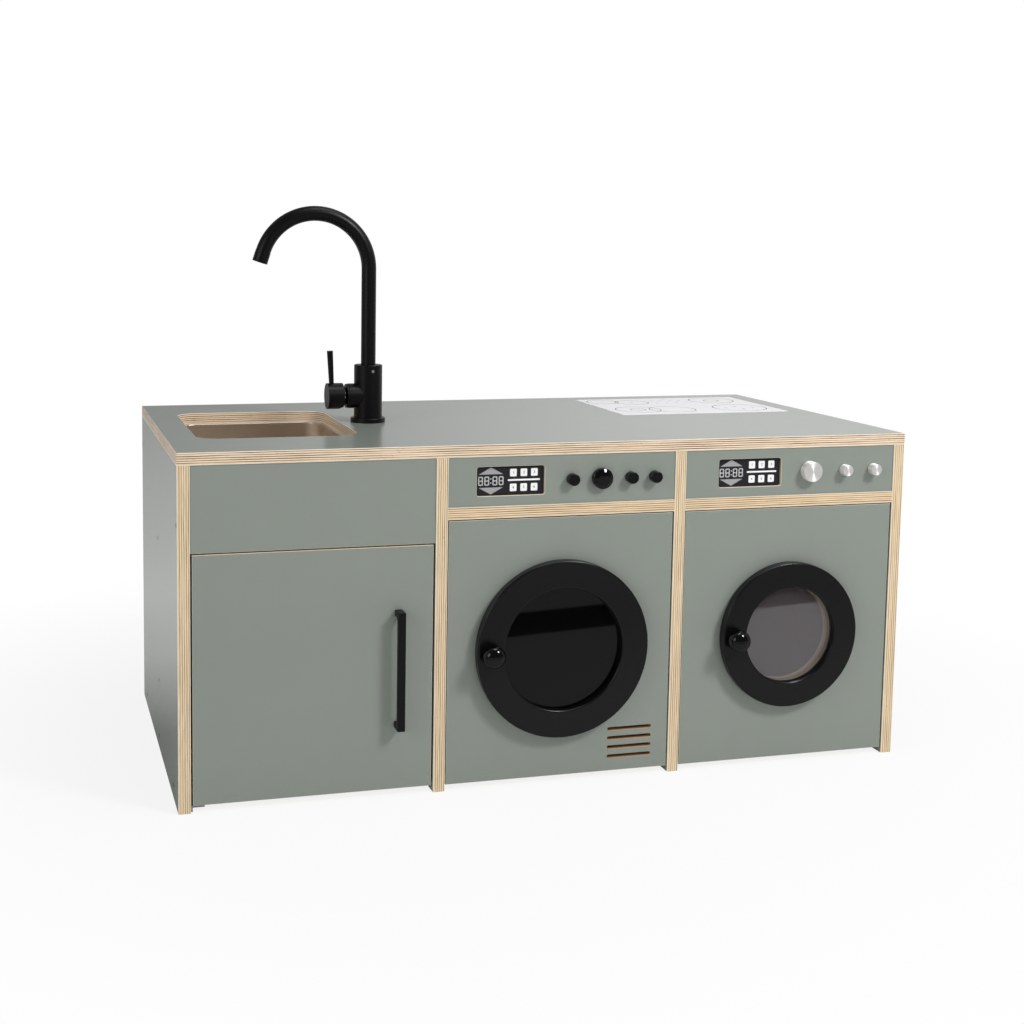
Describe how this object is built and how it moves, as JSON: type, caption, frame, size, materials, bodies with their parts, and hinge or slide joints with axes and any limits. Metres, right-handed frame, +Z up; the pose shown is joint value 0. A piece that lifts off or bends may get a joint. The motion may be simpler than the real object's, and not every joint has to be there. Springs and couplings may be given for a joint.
{
  "type": "play kitchen and laundry unit",
  "caption": "Low play unit with a sink cupboard, tumble dryer and washing machine side by side under one worktop; doors, knobs and tap all move.",
  "frame": {"origin": "on the floor, under the middle of the bounding box", "axes": "+X along the worktop from the sink to the washing machine, +Y from the doors to the rear, +Z up"},
  "size_m": [1.2, 0.6464, 0.91],
  "materials": {
    "laminated_plywood": "sage high-pressure laminate on birch plywood, bare layered edges",
    "birch": "sanded, clear lacquer",
    "black_lacquer": "satin black lacquer on turned board",
    "black_knob": "polished black",
    "dark_acrylic": "polished black sheet",
    "clear_acrylic": "polished clear sheet",
    "black_tap": "matt black powder coat on brass",
    "black_steel": "fine black powder coat",
    "spun_aluminium": "turned faces, satin sides",
    "basin_steel": "deep-drawn stainless sheet, brushed",
    "zinc_steel": "zinc-plated",
    "hob_print": "white sheet with thin grey printed rings",
    "display_print": "dark printed panel",
    "white_plastic": "moulded"
  },
  "bodies": {
    "carcass": {"worktop": "laminated_plywood", "left_side": "laminated_plywood", "left_divider": "laminated_plywood", "right_divider": "laminated_plywood", "right_side": "laminated_plywood", "bay_floors": "laminated_plywood", "control_shelves": "laminated_plywood", "bay_partitions": "laminated_plywood", "rear_rails": "laminated_plywood", "sink_fascia": "laminated_plywood", "dryer_fascia": "laminated_plywood", "washer_fascia": "laminated_plywood", "dryer_front": "laminated_plywood", "washer_front": "laminated_plywood", "dryer_display": "display_print", "washer_display": "display_print", "sink_basin": "basin_steel", "basin_screws": "zinc_steel", "hob_plate": "hob_print", "side_screws": "zinc_steel", "worktop_dowels": "birch", "front_battens": "birch", "door_catch": "white_plastic", "stop_magnets": "zinc_steel", "door_pivots": "black_steel", "hinge_plates": "black_steel", "tap_body": "black_tap", "tap_foot_ring": "black_tap", "tap_nut": "zinc_steel", "tap_grub_screw": "spun_aluminium", "mixer_collar": "black_tap", "knob_spindles": "zinc_steel", "spindle_nuts": "zinc_steel"},
    "cupboard": {"cupboard_door": "laminated_plywood", "bar_handle": "black_steel", "handle_screws": "zinc_steel", "catch_strike": "zinc_steel"},
    "dryer_door": {"dryer_ring": "black_lacquer", "dryer_window": "dark_acrylic", "dryer_pull": "black_knob", "dryer_hinge_flap": "black_steel", "dryer_ring_magnet": "zinc_steel"},
    "washer_door": {"washer_ring": "black_lacquer", "washer_window": "clear_acrylic", "washer_pull": "black_knob", "washer_hinge_flap": "black_steel", "washer_ring_magnet": "zinc_steel"},
    "tap_spout": {"spout": "black_tap", "aerator": "black_tap"},
    "mixer": {"mixer_ball": "black_tap"},
    "lever": {"lever_cap": "black_tap", "lever_pin": "zinc_steel", "lever_rod": "black_tap"},
    "dryer_dial": {"dryer_dial": "black_knob"},
    "dryer_knob_1": {"dryer_knob_1": "black_knob"},
    "dryer_knob_2": {"dryer_knob_2": "black_knob"},
    "dryer_knob_3": {"dryer_knob_3": "black_knob"},
    "washer_dial": {"washer_dial": "spun_aluminium"},
    "washer_knob_1": {"washer_knob_1": "spun_aluminium"},
    "washer_knob_2": {"washer_knob_2": "spun_aluminium"}
  },
  "joints": [
    {"name": "cupboard_hinge", "type": "hinge", "parent": "carcass", "child": "cupboard", "pos_m": [-0.566, -0.26735, 0.2015], "axis": [0, 0, -1], "range_deg": [0, 110]},
    {"name": "dryer_door_hinge", "type": "hinge", "parent": "carcass", "child": "dryer_door", "pos_m": [0.139, -0.28215, 0.219], "axis": [0, 0, 1], "range_deg": [0, 95]},
    {"name": "washer_door_hinge", "type": "hinge", "parent": "carcass", "child": "washer_door", "pos_m": [0.5105, -0.28215, 0.219], "axis": [0, 0, 1], "range_deg": [0, 95]},
    {"name": "spout_swivel", "type": "hinge", "parent": "carcass", "child": "tap_spout", "pos_m": [-0.2425, 0.02915, 0.63], "axis": [0, 0, 1], "continuous": true},
    {"name": "mixer_turn", "type": "hinge", "parent": "carcass", "child": "mixer", "pos_m": [-0.2876, 0.02915, 0.59], "axis": [1, 0, 0], "range_deg": [-45, 45]},
    {"name": "lever_lift", "type": "hinge", "parent": "mixer", "child": "lever", "pos_m": [-0.2876, 0.02915, 0.59], "axis": [0, -1, 0], "range_deg": [0, 15]},
    {"name": "dryer_knob_1_turn", "type": "hinge", "parent": "carcass", "child": "dryer_knob_1", "pos_m": [0.014, -0.28285, 0.48725], "axis": [0, -1, 0], "continuous": true},
    {"name": "dryer_dial_turn", "type": "hinge", "parent": "carcass", "child": "dryer_dial", "pos_m": [0.0635, -0.28285, 0.48725], "axis": [0, -1, 0], "continuous": true},
    {"name": "dryer_knob_2_turn", "type": "hinge", "parent": "carcass", "child": "dryer_knob_2", "pos_m": [0.1125, -0.28285, 0.48725], "axis": [0, -1, 0], "continuous": true},
    {"name": "dryer_knob_3_turn", "type": "hinge", "parent": "carcass", "child": "dryer_knob_3", "pos_m": [0.153, -0.28285, 0.48725], "axis": [0, -1, 0], "continuous": true},
    {"name": "washer_dial_turn", "type": "hinge", "parent": "carcass", "child": "washer_dial", "pos_m": [0.4268, -0.28285, 0.48725], "axis": [0, -1, 0], "continuous": true},
    {"name": "washer_knob_1_turn", "type": "hinge", "parent": "carcass", "child": "washer_knob_1", "pos_m": [0.4905, -0.28285, 0.48725], "axis": [0, -1, 0], "continuous": true},
    {"name": "washer_knob_2_turn", "type": "hinge", "parent": "carcass", "child": "washer_knob_2", "pos_m": [0.543, -0.28285, 0.48725], "axis": [0, -1, 0], "continuous": true}
  ]
}
